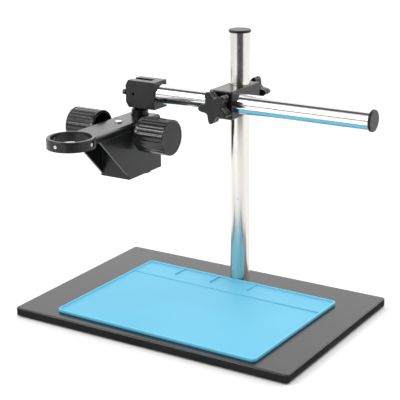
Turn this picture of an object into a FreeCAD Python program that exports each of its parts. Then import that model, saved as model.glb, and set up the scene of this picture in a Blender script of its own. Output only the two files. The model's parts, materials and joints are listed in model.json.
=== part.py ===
import FreeCAD, Part
import math
import os

os.makedirs("parts", exist_ok=True)

V = FreeCAD.Vector
X_AXIS = V(1, 0, 0)
Y_AXIS = V(0, 1, 0)
Z_AXIS = V(0, 0, 1)

# ---------------------------------------------------------------- sizes, mm
# X runs along the front edge of the base, Y towards the back, Z up from the
# bench. The origin is on the bench under the middle of the base plate.

# base plate and the rubber sheet under it
PLATE_LENGTH = 380.0
PLATE_DEPTH = 260.0
PLATE_THICKNESS = 10.0
PLATE_CORNER = 4.0
PLATE_EDGE = 1.8
SHEET_THICKNESS = 2.0
SHEET_INSET = 8.0
SHEET_HOLE_DIAMETER = 22.0

# silicone work mat lying on the plate
MAT_LENGTH = 280.0
MAT_DEPTH = 200.0
MAT_FLOOR = 2.2
MAT_RIM_HEIGHT = 4.3
MAT_RIM_WIDTH = 2.2
MAT_CORNER = 6.0
MAT_CENTRE_X = 5.2
MAT_CENTRE_Y = -18.0
MAT_TURN = -1.1
MAT_TRAY_DEPTH = 41.0
MAT_RIDGE_WIDTH = 1.6
MAT_STUB_LENGTH = 22.0
MAT_STUB_STARTS = (-83.5, -30.0, 25.5)

# pillar
PILLAR_X = 0.0
PILLAR_Y = 95.0
PILLAR_DIAMETER = 25.0
PILLAR_WALL = 3.0
PILLAR_LENGTH = 323.5
PILLAR_SEAT_DEPTH = 3.0
PLUG_LENGTH = 24.0
BASE_SCREW_DIAMETER = 10.0
BASE_SCREW_HEAD = 18.0
BASE_SCREW_HEAD_HEIGHT = 4.5
BASE_SCREW_GRIP = 18.0
BASE_SCREW_SOCKET = 6.0
BASE_SCREW_SOCKET_DEPTH = 3.0
CAP_DIAMETER = 27.6
CAP_THICKNESS = 3.2
CAP_SPIGOT = 9.0
CAP_EDGE = 1.2

# cross clamp
CLAMP_WIDTH = 32.0
CLAMP_HEIGHT = 35.0
CLAMP_CENTRE_Z = 253.0
CLAMP_FRONT = 47.0
CLAMP_BACK = 23.0
CLAMP_EDGE = 1.6
ARM_TO_PILLAR = 29.0
BUSH_WALL = 1.2
BUSH_SLIT = 1.5

# star knobs and their studs
STAR_TIP = 20.6
STAR_VALLEY = 12.0
STAR_TIP_SHARPNESS = 1.5
STAR_LOBES = 5
STAR_THICKNESS = 14.0
STAR_RIM = 4.6
STAR_GROOVE = 1.2
STAR_GROOVE_SCALE = 0.93
STAR_EDGE = 1.4
STAR_OUTLINE_POINTS = 60
STAR_HUB_GAP = 2.2
STAR_REACH = 20.0
STAR_HUB_DIAMETER = 16.0
FRONT_STAR_TURN = -27.0
BACK_STAR_TURN = 8.0
STUD_DIAMETER = 8.0
STUD_IN_KNOB = 10.0
STUD_TIP_CHAMFER = 0.3
LOCK_PAD_DIAMETER = 7.4
LOCK_PAD_LENGTH = 2.2

# horizontal arm
ARM_DIAMETER = 25.0
ARM_WALL = 2.0
ARM_RIGHT_END = 192.0
ARM_CAP_DIAMETER = 26.4
ARM_CAP_THICKNESS = 3.2
ARM_CAP_SPIGOT = 10.0
ARM_CAP_EDGE = 1.0

# clevis block on the left end of the arm
CLEVIS_LENGTH = 44.0
CLEVIS_WIDTH = 28.0
CLEVIS_HEIGHT = 35.0
CLEVIS_DROP = 1.5
CLEVIS_CHAMFER = 4.0
CLEVIS_CHAMFER_HEIGHT = 6.4
CLEVIS_RIGHT_X = -99.5
SLOT_WIDTH = 9.4
SLOT_LENGTH = 33.2
SOCKET_DEPTH = 8.6
PIVOT_FROM_LEFT = 11.5
PIVOT_DIAMETER = 5.0
PIVOT_HEAD_DIAMETER = 7.8
PIVOT_HEAD_HEIGHT = 4.2
PIVOT_HEAD_SUNK = 0.4
PIVOT_SOCKET = 4.0
PIVOT_SOCKET_DEPTH = 2.2
PIVOT_NUT_FLATS = 8.0
PIVOT_NUT_HEIGHT = 4.0
PIVOT_NUT_SUNK = 0.2
LOCK_SCREW_DIAMETER = 4.0
LOCK_SCREW_HEAD = 7.0
LOCK_SCREW_HEAD_HEIGHT = 4.0
LOCK_SCREW_STANDOFF = 3.2
LOCK_SCREW_SOCKET = 3.0
LOCK_SCREW_SOCKET_DEPTH = 2.0
GRUB_DIAMETER = 5.0
GRUB_SUNK = 0.6
GRUB_SOCKET = 2.5
GRUB_SOCKET_DEPTH = 2.0

# swivel post with its tongue
POST_DIAMETER = 22.0
POST_TOP_GAP = 1.6
POST_BOTTOM_Z = 150.5
POST_CHAMFER = 3.6
NECK_INSET = 1.6
TONGUE_THICKNESS = 9.0
TONGUE_RADIUS = 10.8
TONGUE_STOP_GAP = 0.9
TONGUE_STOP_LOW = 2.0
TONGUE_STOP_HIGH = 12.0
WASHER_OVERLAP = 1.5
WASHER_THICKNESS = 4.6
END_SCREW_DIAMETER = 8.0
END_SCREW_HEAD = 15.0
END_SCREW_HEAD_HEIGHT = 3.6
END_SCREW_HOLE_DEPTH = 26.0
END_SCREW_GRIP = 23.0
END_SCREW_SOCKET = 5.0
END_SCREW_SOCKET_DEPTH = 2.6

# focus bracket: ring arm on top, housing below
RING_BORE = 50.0
RING_OUTER = 60.0
RING_HEIGHT = 12.5
RING_RIM_RISE = 3.0
RING_REACH = 145.0
RING_CHAMFER = 0.8
RING_EDGE = 2.0
ARM_PLATE_TOP_Z = 222.0
ARM_PLATE_THICKNESS = 8.0
BRACKET_WIDTH = 44.0
BRACKET_EDGE = 4.2
BRACKET_WALL = 3.0
BRACKET_BACK = 14.0
SHAFT_SLOT_GAP = 1.0
BRACKET_FRONT = 58.0
BRACKET_BOTTOM_Z = 152.0
GUSSET_TOE = 3.5
POST_HOLE_CLEARANCE = 1.0
RING_SCREW_DIAMETER = 4.0
RING_SCREW_LENGTH = 5.4
RING_SCREW_PROUD = 0.6
RING_SCREW_DROP = 6.0
RING_SCREW_ANGLES = (-90.0, 0.0, 180.0)
RING_SCREW_SOCKET = 2.0
RING_SCREW_SOCKET_DEPTH = 1.6
TOP_SCREW_DIAMETER = 3.0
TOP_SCREW_HEAD = 5.0
TOP_SCREW_INSET = 4.75
TOP_SCREW_FROM_POST = 30.0
TOP_SCREW_LENGTH = 14.0
TOP_SCREW_RECESS = 2.2
TOP_SCREW_SUNK = 0.3
TOP_SCREW_SOCKET = 2.0
TOP_SCREW_SOCKET_DEPTH = 1.2
LUG_WIDTH = 5.6
LUG_HEIGHT = 11.0
LUG_HOLE_DEPTH = 8.0
LUG_GAP = 0.5
RACK_SCREW_DIAMETER = 4.0
RACK_SCREW_HEAD = 9.0
RACK_SCREW_HEAD_HEIGHT = 1.6
RACK_SCREW_EDGE = 0.6
RACK_SCREW_DEPTH = 9.0
RACK_SCREW_SLOT_WIDTH = 1.0
RACK_SCREW_SLOT_DEPTH = 0.7

# slide body inside the housing
BODY_WIDTH = 30.0
BODY_TOP_GAP = 0.6
BODY_BOTTOM_Z = 163.0
BODY_FRONT = 53.0
BODY_YOKE_GAP = 11.0
BODY_YOKE_DEPTH = 30.0
BODY_BOSS_WALL = 3.0
RAIL_DEPTH = 8.0
RAIL_FROM_POST = 20.0
RAIL_REACH = 3.0
RAIL_RAISED = 3.0

# rack, pinion and focus knobs
FOCUS_TRAVEL = 10.0
GEAR_MODULE = 0.8
PINION_TEETH = 14
GEAR_BACKLASH = 0.18
GEAR_ADDENDUM = 0.64
GEAR_DEDENDUM = 1.0
PRESSURE_ANGLE = math.radians(20)
PINION_WIDTH = 9.0
PINION_RELIEF = 0.5
SHAFT_DIAMETER = 6.0
SHAFT_FROM_POST = 38.5
SHAFT_Z = 209.0
RACK_THICKNESS = 9.0
RACK_WIDTH = 8.0
RACK_BOTTOM_Z = 188.0
RACK_SCREW_OFFSET = 1.2
KNOB_DIAMETER = 45.0
KNOB_LENGTH = 42.0
KNOB_WALL = 3.0
KNOB_FROM_CENTRE = 32.5
KNOB_END_WALL = 6.0
KNOB_HUB = 14.0
KNOB_FLUTES = 18
KNOB_FLUTE_RADIUS = 7.0
KNOB_FLUTE_DEPTH = 0.5
KNOB_PLAIN_RIM = 4.0
KNOB_OUTER_EDGE = 0.8
KNOB_FLUTE_STOP = 1.6
KNOB_HUB_SETBACK = 2.0
KNOB_CAP_DIAMETER = 39.0
KNOB_CAP_THICKNESS = 1.4
KNOB_CAP_SUNK = 0.3
SHAFT_END_GAP = 2.0

# fits
RUNNING_FIT = 0.05
SLIDE_GAP = 0.1
LOOSE_GAP = 0.3

# ---------------------------------------------------------------- derived
PLATE_TOP = SHEET_THICKNESS + PLATE_THICKNESS
PILLAR_BOTTOM = PLATE_TOP - PILLAR_SEAT_DEPTH
PILLAR_TOP = PILLAR_BOTTOM + PILLAR_LENGTH + PILLAR_SEAT_DEPTH
PILLAR_R = PILLAR_DIAMETER / 2
ARM_R = ARM_DIAMETER / 2
ARM_Y = PILLAR_Y - ARM_TO_PILLAR
ARM_Z = CLAMP_CENTRE_Z
CLAMP_FRONT_Y = PILLAR_Y - CLAMP_FRONT
CLAMP_BACK_Y = PILLAR_Y + CLAMP_BACK
CLAMP_BOTTOM = CLAMP_CENTRE_Z - CLAMP_HEIGHT / 2
BUSH_OUTER_R = PILLAR_R + RUNNING_FIT + BUSH_WALL
CLEVIS_LEFT_X = CLEVIS_RIGHT_X - CLEVIS_LENGTH
CLEVIS_Z = ARM_Z - CLEVIS_DROP
CLEVIS_BOTTOM = CLEVIS_Z - CLEVIS_HEIGHT / 2
ARM_LEFT_END = CLEVIS_RIGHT_X - SOCKET_DEPTH
PIVOT_HEAD_END_Y = ARM_Y - CLEVIS_WIDTH / 2 + PIVOT_HEAD_HEIGHT
LOCK_SCREW_Y = PIVOT_HEAD_END_Y + LOCK_SCREW_DIAMETER / 2 + 2 * SLIDE_GAP
POST_X = CLEVIS_LEFT_X + PIVOT_FROM_LEFT
POST_Y = ARM_Y
POST_R = POST_DIAMETER / 2
POST_TOP = CLEVIS_BOTTOM - POST_TOP_GAP
ARM_PLATE_BOTTOM = ARM_PLATE_TOP_Z - ARM_PLATE_THICKNESS
RING_Y = POST_Y - RING_REACH
RING_TOP = ARM_PLATE_TOP_Z + RING_RIM_RISE
RING_SCREW_Z = RING_TOP - RING_SCREW_DROP
BRACKET_FRONT_Y = POST_Y - BRACKET_FRONT
BRACKET_BACK_Y = POST_Y + BRACKET_BACK
SHAFT_Y = POST_Y - SHAFT_FROM_POST
SHAFT_R = SHAFT_DIAMETER / 2
PITCH_R = GEAR_MODULE * PINION_TEETH / 2
RACK_PITCH_Y = SHAFT_Y - PITCH_R
BODY_TOP = ARM_PLATE_BOTTOM - BODY_TOP_GAP
BODY_FRONT_Y = POST_Y - BODY_FRONT
RAIL_Y = POST_Y - RAIL_FROM_POST
TOP_SCREW_Y = POST_Y - TOP_SCREW_FROM_POST
RACK_FRONT_Y = BRACKET_FRONT_Y + BRACKET_WALL
ARM_TIP_Y = ARM_Y - ARM_R - SLIDE_GAP - LOCK_PAD_LENGTH
PILLAR_TIP_Y = PILLAR_Y + BUSH_OUTER_R + SLIDE_GAP + LOCK_PAD_LENGTH
RACK_SCREW_Y = RACK_PITCH_Y - RACK_THICKNESS / 2 + RACK_SCREW_OFFSET


# ---------------------------------------------------------------- helpers
def box(x0, x1, y0, y1, z0, z1):
    return Part.makeBox(x1 - x0, y1 - y0, z1 - z0, V(x0, y0, z0))


def cyl(radius, start, end):
    axis = end - start
    return Part.makeCylinder(radius, axis.Length, start, axis)


def cone(r0, r1, start, end):
    axis = end - start
    return Part.makeCone(r0, r1, axis.Length, start, axis)


def tube(outer_r, inner_r, start, end):
    axis = end - start
    axis.normalize()
    bore = cyl(inner_r, start - axis, end + axis)
    return cyl(outer_r, start, end).cut(bore)


def prism(points, direction):
    wire = Part.makePolygon(points + [points[0]])
    return Part.Face(wire).extrude(direction)


def edges_along(shape, axis, test):
    found = []
    for edge in shape.Edges:
        if edge.Curve.TypeId != "Part::GeomLine":
            continue
        if abs(edge.Curve.Direction.dot(axis)) > 0.999 and test(edge.CenterOfMass):
            found.append(edge)
    return found


def group(shapes):
    return Part.makeCompound(shapes)


def hex_prism(flats, start, end):
    axis = end - start
    length = axis.Length
    axis.normalize()
    side = axis.cross(Z_AXIS)
    if side.Length < 0.1:
        side = X_AXIS
    side.normalize()
    other = axis.cross(side)
    r = flats / math.sqrt(3)
    points = []
    for i in range(6):
        a = math.radians(60 * i)
        points.append(start + side * (r * math.cos(a)) + other * (r * math.sin(a)))
    return prism(points, axis * length)


def save(name, shape):
    shape = shape.removeSplitter()
    shape.exportStep("parts/" + name + ".step")


# ---------------------------------------------------------------- base
def base_plate():
    half_l = PLATE_LENGTH / 2
    half_d = PLATE_DEPTH / 2
    plate = box(-half_l, half_l, -half_d, half_d, SHEET_THICKNESS, PLATE_TOP)
    plate = plate.makeFillet(PLATE_CORNER, edges_along(plate, Z_AXIS, lambda c: True))
    top = [e for e in plate.Edges if abs(e.CenterOfMass.z - PLATE_TOP) < 0.01]
    plate = plate.makeFillet(PLATE_EDGE, top)
    seat_low = V(PILLAR_X, PILLAR_Y, PILLAR_BOTTOM)
    seat = cyl(PILLAR_R + RUNNING_FIT, seat_low, V(PILLAR_X, PILLAR_Y, PLATE_TOP + 1))
    plate = plate.cut(seat)
    hole_r = BASE_SCREW_DIAMETER / 2 + RUNNING_FIT
    plate = plate.cut(cyl(hole_r, V(PILLAR_X, PILLAR_Y, 0), V(PILLAR_X, PILLAR_Y, PLATE_TOP)))
    sink = cone(
        BASE_SCREW_HEAD / 2 + RUNNING_FIT,
        hole_r,
        V(PILLAR_X, PILLAR_Y, SHEET_THICKNESS),
        V(PILLAR_X, PILLAR_Y, SHEET_THICKNESS + BASE_SCREW_HEAD_HEIGHT),
    )
    return plate.cut(sink)


def base_rubber_sheet():
    half_l = PLATE_LENGTH / 2 - SHEET_INSET
    half_d = PLATE_DEPTH / 2 - SHEET_INSET
    sheet = box(-half_l, half_l, -half_d, half_d, 0, SHEET_THICKNESS)
    sheet = sheet.makeFillet(PLATE_CORNER, edges_along(sheet, Z_AXIS, lambda c: True))
    hole = cyl(SHEET_HOLE_DIAMETER / 2, pillar_point(-1), pillar_point(SHEET_THICKNESS + 1))
    return sheet.cut(hole)


def work_mat():
    half_l = MAT_LENGTH / 2
    half_d = MAT_DEPTH / 2
    z0 = PLATE_TOP
    mat = box(-half_l, half_l, -half_d, half_d, z0, z0 + MAT_RIM_HEIGHT)
    mat = mat.makeFillet(MAT_CORNER, edges_along(mat, Z_AXIS, lambda c: True))
    inner_l = half_l - MAT_RIM_WIDTH
    inner_d = half_d - MAT_RIM_WIDTH
    well = box(-inner_l, inner_l, -inner_d, inner_d, z0 + MAT_FLOOR, z0 + MAT_RIM_HEIGHT + 1)
    well = well.makeFillet(MAT_CORNER - MAT_RIM_WIDTH, edges_along(well, Z_AXIS, lambda c: True))
    mat = mat.cut(well)
    ridge_y = half_d - MAT_TRAY_DEPTH
    ridge = box(
        -inner_l - MAT_RIM_WIDTH / 2,
        inner_l + MAT_RIM_WIDTH / 2,
        ridge_y - MAT_RIDGE_WIDTH / 2,
        ridge_y + MAT_RIDGE_WIDTH / 2,
        z0 + MAT_FLOOR / 2,
        z0 + MAT_RIM_HEIGHT - 0.3,
    )
    mat = mat.fuse(ridge)
    for x in MAT_STUB_STARTS:
        stub = box(
            x - MAT_RIDGE_WIDTH / 2,
            x + MAT_RIDGE_WIDTH / 2,
            half_d - MAT_RIM_WIDTH - MAT_STUB_LENGTH,
            half_d - MAT_RIM_WIDTH / 2,
            z0 + MAT_FLOOR / 2,
            z0 + MAT_RIM_HEIGHT,
        )
        mat = mat.fuse(stub)
    mat = mat.removeSplitter()
    mat.rotate(V(0, 0, 0), Z_AXIS, MAT_TURN)
    mat.translate(V(MAT_CENTRE_X, MAT_CENTRE_Y, 0))
    return mat


# ---------------------------------------------------------------- pillar
def pillar_point(z):
    return V(PILLAR_X, PILLAR_Y, z)


def pillar_tube():
    return tube(PILLAR_R, PILLAR_R - PILLAR_WALL, pillar_point(PILLAR_BOTTOM), pillar_point(PILLAR_TOP))


def pillar_plug():
    outer = PILLAR_R - PILLAR_WALL
    plug = cyl(outer, pillar_point(PILLAR_BOTTOM), pillar_point(PILLAR_BOTTOM + PLUG_LENGTH))
    hole_r = BASE_SCREW_DIAMETER / 2
    top = SHEET_THICKNESS + BASE_SCREW_GRIP + BASE_SCREW_HEAD_HEIGHT + 2
    return plug.cut(cyl(hole_r, pillar_point(PILLAR_BOTTOM - 1), pillar_point(top)))


def pillar_screw():
    head_top = SHEET_THICKNESS + BASE_SCREW_HEAD_HEIGHT
    head_low = pillar_point(SHEET_THICKNESS)
    head = cone(BASE_SCREW_HEAD / 2, BASE_SCREW_DIAMETER / 2, head_low, pillar_point(head_top))
    shank = cyl(BASE_SCREW_DIAMETER / 2, pillar_point(head_top), pillar_point(head_top + BASE_SCREW_GRIP))
    socket_end = pillar_point(SHEET_THICKNESS + BASE_SCREW_SOCKET_DEPTH)
    socket = hex_prism(BASE_SCREW_SOCKET, pillar_point(SHEET_THICKNESS - 1), socket_end)
    return head.fuse(shank).cut(socket)


def pillar_cap():
    flange = cyl(CAP_DIAMETER / 2, pillar_point(PILLAR_TOP), pillar_point(PILLAR_TOP + CAP_THICKNESS))
    rim = [e for e in flange.Edges if abs(e.CenterOfMass.z - PILLAR_TOP - CAP_THICKNESS) < 0.01]
    flange = flange.makeFillet(CAP_EDGE, rim)
    spigot = cyl(PILLAR_R - PILLAR_WALL, pillar_point(PILLAR_TOP - CAP_SPIGOT), pillar_point(PILLAR_TOP))
    return flange.fuse(spigot)


# ---------------------------------------------------------------- clamp
def pillar_bush():
    z0 = CLAMP_BOTTOM
    z1 = CLAMP_BOTTOM + CLAMP_HEIGHT
    bush = tube(BUSH_OUTER_R, PILLAR_R + RUNNING_FIT, pillar_point(z0), pillar_point(z1))
    slit = box(
        PILLAR_X,
        PILLAR_X + BUSH_OUTER_R + 1,
        PILLAR_Y - BUSH_SLIT / 2,
        PILLAR_Y + BUSH_SLIT / 2,
        z0 - 1,
        z1 + 1,
    )
    return bush.cut(slit)


def clamp_block():
    half_w = CLAMP_WIDTH / 2
    z0 = CLAMP_BOTTOM
    z1 = z0 + CLAMP_HEIGHT
    block = box(-half_w, half_w, CLAMP_FRONT_Y, CLAMP_BACK_Y, z0, z1)
    block = block.makeFillet(CLAMP_EDGE, block.Edges)
    block = block.cut(cyl(BUSH_OUTER_R + RUNNING_FIT, pillar_point(z0 - 1), pillar_point(z1 + 1)))
    arm_bore = cyl(ARM_R + RUNNING_FIT, V(-half_w - 1, ARM_Y, ARM_Z), V(half_w + 1, ARM_Y, ARM_Z))
    block = block.cut(arm_bore)
    stud_r = STUD_DIAMETER / 2 + RUNNING_FIT
    front = cyl(stud_r, V(PILLAR_X, CLAMP_FRONT_Y - 1, ARM_Z), V(PILLAR_X, ARM_Y, ARM_Z))
    back = cyl(stud_r, V(PILLAR_X, PILLAR_Y, ARM_Z), V(PILLAR_X, CLAMP_BACK_Y + 1, ARM_Z))
    return block.cut(front).cut(back)


def star_face(scale, turn, y):
    points = []
    for i in range(STAR_OUTLINE_POINTS):
        a = 2 * math.pi * i / STAR_OUTLINE_POINTS
        rise = (0.5 + 0.5 * math.cos(STAR_LOBES * a)) ** STAR_TIP_SHARPNESS
        r = scale * (STAR_VALLEY + (STAR_TIP - STAR_VALLEY) * rise)
        b = a + math.radians(turn)
        points.append(V(PILLAR_X + r * math.cos(b), y, ARM_Z + r * math.sin(b)))
    curve = Part.BSplineCurve()
    curve.interpolate(Points=points, PeriodicFlag=True)
    return Part.Face(Part.Wire(curve.toShape()))


def star_knob(face_y, outward, turn):
    outer_y = face_y + outward * STAR_REACH
    main = STAR_THICKNESS - STAR_RIM - STAR_GROOVE
    head = star_face(1.0, turn, outer_y).extrude(V(0, -outward * main, 0))
    rounded = [e for e in head.Edges if abs(e.CenterOfMass.y - outer_y) < 0.01]
    head = head.makeFillet(STAR_EDGE, rounded)
    groove_y = outer_y - outward * main
    groove = star_face(STAR_GROOVE_SCALE, turn, groove_y).extrude(V(0, -outward * STAR_GROOVE, 0))
    rim_y = groove_y - outward * STAR_GROOVE
    rim = star_face(1.0, turn, rim_y).extrude(V(0, -outward * STAR_RIM, 0))
    hub_y = rim_y - outward * STAR_RIM
    hub_end = face_y + outward * STAR_HUB_GAP
    hub = cyl(STAR_HUB_DIAMETER / 2, V(PILLAR_X, hub_y, ARM_Z), V(PILLAR_X, hub_end, ARM_Z))
    knob = head.fuse([groove, rim, hub])
    bore_end = outer_y - outward * (STAR_THICKNESS - STUD_IN_KNOB)
    bore = cyl(
        STUD_DIAMETER / 2 + RUNNING_FIT,
        V(PILLAR_X, face_y, ARM_Z),
        V(PILLAR_X, bore_end, ARM_Z),
    )
    return knob.cut(bore)


def lock_stud(face_y, outward, tip_y):
    outer_y = face_y + outward * STAR_REACH
    end_y = outer_y - outward * (STAR_THICKNESS - STUD_IN_KNOB + LOOSE_GAP)
    stud = cyl(STUD_DIAMETER / 2, V(PILLAR_X, tip_y, ARM_Z), V(PILLAR_X, end_y, ARM_Z))
    tips = [e for e in stud.Edges if abs(e.CenterOfMass.y - tip_y) < 0.01]
    return stud.makeChamfer(STUD_TIP_CHAMFER, tips)


def lock_pad(tip_y, outward):
    return cyl(
        LOCK_PAD_DIAMETER / 2,
        V(PILLAR_X, tip_y, ARM_Z),
        V(PILLAR_X, tip_y - outward * LOCK_PAD_LENGTH, ARM_Z),
    )


# ---------------------------------------------------------------- arm
def arm_point(x):
    return V(x, ARM_Y, ARM_Z)


def arm_tube():
    return tube(ARM_R, ARM_R - ARM_WALL, arm_point(ARM_LEFT_END), arm_point(ARM_RIGHT_END))


def arm_cap():
    flange = cyl(ARM_CAP_DIAMETER / 2, arm_point(ARM_RIGHT_END), arm_point(ARM_RIGHT_END + ARM_CAP_THICKNESS))
    rim = [e for e in flange.Edges if abs(e.CenterOfMass.x - ARM_RIGHT_END - ARM_CAP_THICKNESS) < 0.01]
    flange = flange.makeFillet(ARM_CAP_EDGE, rim)
    spigot = cyl(ARM_R - ARM_WALL, arm_point(ARM_RIGHT_END - ARM_CAP_SPIGOT), arm_point(ARM_RIGHT_END))
    return flange.fuse(spigot)


# ---------------------------------------------------------------- clevis
def pivot_point(y):
    return V(POST_X, y, CLEVIS_Z)


def clevis_block():
    y0 = ARM_Y - CLEVIS_WIDTH / 2
    y1 = ARM_Y + CLEVIS_WIDTH / 2
    z0 = CLEVIS_BOTTOM
    z1 = z0 + CLEVIS_HEIGHT
    x0 = CLEVIS_LEFT_X
    x1 = CLEVIS_RIGHT_X
    c = CLEVIS_CHAMFER
    outline = [
        V(x0 + c, y0, z0),
        V(x1, y0, z0),
        V(x1, y0, z1),
        V(x0 + c, y0, z1),
        V(x0, y0, z1 - CLEVIS_CHAMFER_HEIGHT),
        V(x0, y0, z0 + CLEVIS_CHAMFER_HEIGHT),
    ]
    block = prism(outline, V(0, y1 - y0, 0))
    slot = box(
        x0 - 1,
        x0 + SLOT_LENGTH,
        ARM_Y - SLOT_WIDTH / 2,
        ARM_Y + SLOT_WIDTH / 2,
        z0 - 1,
        z1 + 1,
    )
    block = block.cut(slot)
    socket = cyl(ARM_R + RUNNING_FIT, arm_point(ARM_LEFT_END - LOOSE_GAP), arm_point(x1 + 1))
    block = block.cut(socket)
    block = block.cut(cyl(PIVOT_DIAMETER / 2 + RUNNING_FIT, pivot_point(y0 - 1), pivot_point(y1 + 1)))
    recess_end = pivot_point(y0 + PIVOT_HEAD_HEIGHT)
    recess = cyl(PIVOT_HEAD_DIAMETER / 2 + LOOSE_GAP, pivot_point(y0 - 1), recess_end)
    block = block.cut(recess)
    nut_pocket = hex_prism(
        PIVOT_NUT_FLATS + 2 * SLIDE_GAP, pivot_point(y1 - PIVOT_NUT_HEIGHT), pivot_point(y1 + 1)
    )
    block = block.cut(nut_pocket)
    lock_hole = cyl(
        LOCK_SCREW_DIAMETER / 2 + RUNNING_FIT,
        V(x0 - 1, LOCK_SCREW_Y, CLEVIS_Z),
        V(POST_X, LOCK_SCREW_Y, CLEVIS_Z),
    )
    block = block.cut(lock_hole)
    grub_x = x1 - SOCKET_DEPTH / 2
    grub_hole = cyl(GRUB_DIAMETER / 2, V(grub_x, ARM_Y, z0 - 1), V(grub_x, ARM_Y, ARM_Z))
    return block.cut(grub_hole)


def pivot_bolt():
    y0 = ARM_Y - CLEVIS_WIDTH / 2
    y1 = ARM_Y + CLEVIS_WIDTH / 2
    face_y = y0 + PIVOT_HEAD_SUNK
    head = cyl(PIVOT_HEAD_DIAMETER / 2, pivot_point(face_y), pivot_point(y0 + PIVOT_HEAD_HEIGHT))
    shank_end = pivot_point(y1 - 2 * PIVOT_NUT_SUNK)
    shank = cyl(PIVOT_DIAMETER / 2, pivot_point(y0 + PIVOT_HEAD_HEIGHT), shank_end)
    socket = hex_prism(PIVOT_SOCKET, pivot_point(y0), pivot_point(face_y + PIVOT_SOCKET_DEPTH))
    return head.fuse(shank).cut(socket)


def pivot_nut():
    y1 = ARM_Y + CLEVIS_WIDTH / 2
    nut_end = pivot_point(y1 - PIVOT_NUT_SUNK)
    nut = hex_prism(PIVOT_NUT_FLATS, pivot_point(y1 - PIVOT_NUT_HEIGHT), nut_end)
    return nut.cut(cyl(PIVOT_DIAMETER / 2, pivot_point(y1 - PIVOT_NUT_HEIGHT - 1), pivot_point(y1 + 1)))


def pivot_lock_screw():
    y = LOCK_SCREW_Y
    tip_x = POST_X - PIVOT_DIAMETER / 2 - SLIDE_GAP
    head_x = CLEVIS_LEFT_X - LOCK_SCREW_STANDOFF
    end_x = head_x - LOCK_SCREW_HEAD_HEIGHT
    shank = cyl(LOCK_SCREW_DIAMETER / 2, V(head_x, y, CLEVIS_Z), V(tip_x, y, CLEVIS_Z))
    head = cyl(LOCK_SCREW_HEAD / 2, V(end_x, y, CLEVIS_Z), V(head_x, y, CLEVIS_Z))
    socket_end = V(end_x + LOCK_SCREW_SOCKET_DEPTH, y, CLEVIS_Z)
    socket = hex_prism(LOCK_SCREW_SOCKET, V(end_x - 1, y, CLEVIS_Z), socket_end)
    return shank.fuse(head).cut(socket)


def arm_grub_screw():
    x = CLEVIS_RIGHT_X - SOCKET_DEPTH / 2
    low = CLEVIS_BOTTOM + GRUB_SUNK
    top = ARM_Z - ARM_R - SLIDE_GAP
    screw = cyl(GRUB_DIAMETER / 2 - RUNNING_FIT, V(x, ARM_Y, low), V(x, ARM_Y, top))
    socket = hex_prism(GRUB_SOCKET, V(x, ARM_Y, low - 1), V(x, ARM_Y, low + GRUB_SOCKET_DEPTH))
    return screw.cut(socket)


# ---------------------------------------------------------------- post
def post_point(z):
    return V(POST_X, POST_Y, z)


def swivel_post():
    post = cyl(POST_R, post_point(POST_BOTTOM_Z), post_point(POST_TOP))
    rim = [e for e in post.Edges if abs(e.CenterOfMass.z - POST_TOP) < 0.01]
    post = post.makeChamfer(POST_CHAMFER, rim)
    half_t = TONGUE_THICKNESS / 2
    y0 = POST_Y - half_t
    y1 = POST_Y + half_t
    eye = cyl(TONGUE_RADIUS, pivot_point(y0), pivot_point(y1))
    neck_half = POST_R - NECK_INSET
    neck = box(POST_X - neck_half, POST_X + neck_half, y0, y1, POST_TOP - 1, CLEVIS_Z)
    stop_x = CLEVIS_LEFT_X + SLOT_LENGTH - TONGUE_STOP_GAP
    stop = box(
        POST_X, stop_x, y0, y1, CLEVIS_BOTTOM + TONGUE_STOP_LOW, CLEVIS_BOTTOM + TONGUE_STOP_HIGH
    )
    post = post.fuse([eye, neck, stop])
    post = post.cut(cyl(PIVOT_DIAMETER / 2 + RUNNING_FIT, pivot_point(y0 - 1), pivot_point(y1 + 1)))
    thread_r = END_SCREW_DIAMETER / 2
    hole_end = post_point(POST_BOTTOM_Z + END_SCREW_HOLE_DEPTH)
    return post.cut(cyl(thread_r, post_point(POST_BOTTOM_Z - 1), hole_end))


def post_washer():
    z1 = POST_BOTTOM_Z
    z0 = z1 - WASHER_THICKNESS
    washer = cyl(POST_R + WASHER_OVERLAP, post_point(z0), post_point(z1))
    hole_r = END_SCREW_DIAMETER / 2 + SLIDE_GAP
    washer = washer.cut(cyl(hole_r, post_point(z0 - 1), post_point(z1 + 1)))
    sink_end = post_point(z0 + END_SCREW_HEAD_HEIGHT)
    sink = cone(END_SCREW_HEAD / 2 + SLIDE_GAP, hole_r, post_point(z0), sink_end)
    return washer.cut(sink)


def post_end_screw():
    z0 = POST_BOTTOM_Z - WASHER_THICKNESS
    z1 = z0 + END_SCREW_HEAD_HEIGHT
    head = cone(END_SCREW_HEAD / 2, END_SCREW_DIAMETER / 2, post_point(z0), post_point(z1))
    shank = cyl(END_SCREW_DIAMETER / 2, post_point(z1), post_point(POST_BOTTOM_Z + END_SCREW_GRIP))
    socket = hex_prism(END_SCREW_SOCKET, post_point(z0 - 1), post_point(z0 + END_SCREW_SOCKET_DEPTH))
    return head.fuse(shank).cut(socket)


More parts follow.
